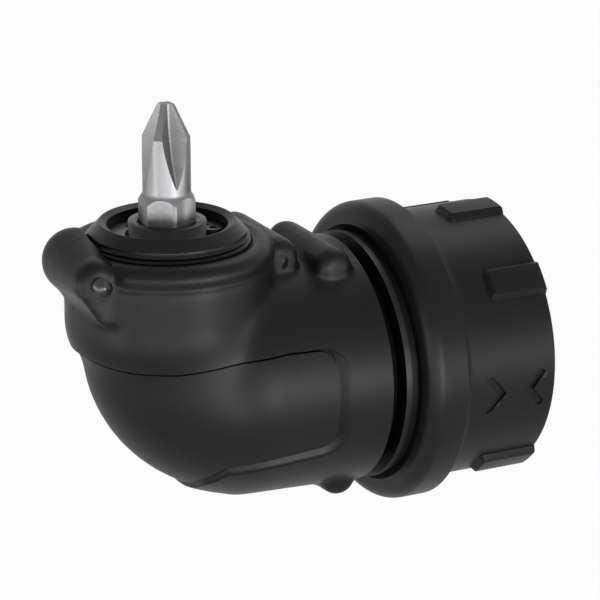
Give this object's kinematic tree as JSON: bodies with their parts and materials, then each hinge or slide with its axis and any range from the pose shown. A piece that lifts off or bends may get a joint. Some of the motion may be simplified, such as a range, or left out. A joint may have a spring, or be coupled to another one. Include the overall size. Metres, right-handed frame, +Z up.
{
  "type": "right angle drill attachment",
  "caption": "Compact right angle drill attachment: moulded elbow housing, bevel gear drive, hexagonal bit socket with a cross point bit, and a bayonet lock collar with a hexagonal drive shank.",
  "frame": {"origin": "centre of the lock collar's open rear face, on the drive shank's axis", "axes": "+X out of the collar's mouth towards the drill, +Z up the spindle and the bit"},
  "size_m": [0.0614, 0.0388, 0.0558],
  "materials": {
    "housing_plastic": "fine moulded texture, satin",
    "guard_plastic": "fine moulded texture, satin",
    "collar_plastic": "fine moulded texture, satin",
    "sleeve_plastic": "smooth, satin",
    "case_metal": "black coated die casting",
    "bit_steel": "blasted and lightly polished",
    "spindle_steel": "ground",
    "shaft_steel": "ground",
    "gear_steel": "sintered",
    "bearing_steel": "polished",
    "cage_brass": "pressed",
    "bush_bronze": "sintered and oiled",
    "seal_rubber": "matt",
    "clip_steel": "phosphated spring steel",
    "ring_steel": "blackened steel",
    "screw_steel": "black oxide",
    "magnet_nickel": "nickel plated",
    "spring_steel": "drawn wire"
  },
  "bodies": {
    "housing": {"housing_left": "housing_plastic", "housing_right": "housing_plastic", "elbow_guard": "guard_plastic", "housing_screws": "screw_steel", "gear_case": "case_metal", "output_circlip": "clip_steel", "output_seal": "seal_rubber", "output_bearing_outer": "bearing_steel", "lower_bush": "bush_bronze", "input_bearing_outer": "bearing_steel", "input_circlip": "clip_steel", "rear_bush": "bush_bronze", "adapter_sleeve": "sleeve_plastic", "thrust_ring": "ring_steel", "collar_snap_ring": "clip_steel", "detent_spring_upper": "spring_steel", "detent_spring_lower": "spring_steel"},
    "input": {"input_shaft": "shaft_steel", "input_pinion": "gear_steel", "input_bearing_inner": "bearing_steel"},
    "spindle": {"output_spindle": "spindle_steel", "output_gear": "gear_steel", "output_bearing_inner": "bearing_steel", "bit_magnet": "magnet_nickel", "bit_clip": "clip_steel"},
    "bit": {"screwdriver_bit": "bit_steel"},
    "input_cage": {"input_bearing_balls": "bearing_steel", "input_bearing_cage": "cage_brass"},
    "output_cage": {"output_bearing_balls": "bearing_steel", "output_bearing_cage": "cage_brass"},
    "collar": {"lock_collar": "collar_plastic"},
    "upper_detent": {"detent_ball_upper": "bearing_steel"},
    "lower_detent": {"detent_ball_lower": "bearing_steel"}
  },
  "joints": [
    {"name": "input_spin", "type": "hinge", "parent": "housing", "child": "input", "pos_m": [-0.02, 0, 0], "axis": [1, 0, 0], "continuous": true},
    {"name": "spindle_spin", "type": "hinge", "parent": "housing", "child": "spindle", "pos_m": [-0.046, 0, 0.016], "axis": [0, 0, 1], "continuous": true},
    {"name": "bit_pull", "type": "slide", "parent": "spindle", "child": "bit", "axis": [0, 0, 1], "range_m": [0, 0.012]},
    {"name": "input_cage_spin", "type": "hinge", "parent": "housing", "child": "input_cage", "pos_m": [-0.0337, 0, 0], "axis": [1, 0, 0], "continuous": true},
    {"name": "output_cage_spin", "type": "hinge", "parent": "housing", "child": "output_cage", "pos_m": [-0.046, 0, 0.0166], "axis": [0, 0, 1], "continuous": true},
    {"name": "collar_turn", "type": "hinge", "parent": "housing", "child": "collar", "pos_m": [-0.01, 0, 0], "axis": [1, 0, 0], "range_deg": [0, 30]},
    {"name": "upper_detent_slide", "type": "slide", "parent": "housing", "child": "upper_detent", "axis": [0, 0, -1], "range_m": [0, 0.0005], "deforming": ["detent_spring_upper"]},
    {"name": "lower_detent_slide", "type": "slide", "parent": "housing", "child": "lower_detent", "axis": [0, 0, 1], "range_m": [0, 0.0005], "deforming": ["detent_spring_lower"]}
  ],
  "couplings": [
    {"joint": "spindle_spin", "follows": "input_spin", "ratio": -1},
    {"joint": "input_cage_spin", "follows": "input_spin", "ratio": 0.4167},
    {"joint": "output_cage_spin", "follows": "input_spin", "ratio": -0.436},
    {"joint": "upper_detent_slide", "follows": "collar_turn", "m_per_rad": 0.00095},
    {"joint": "lower_detent_slide", "follows": "collar_turn", "m_per_rad": 0.00095}
  ]
}
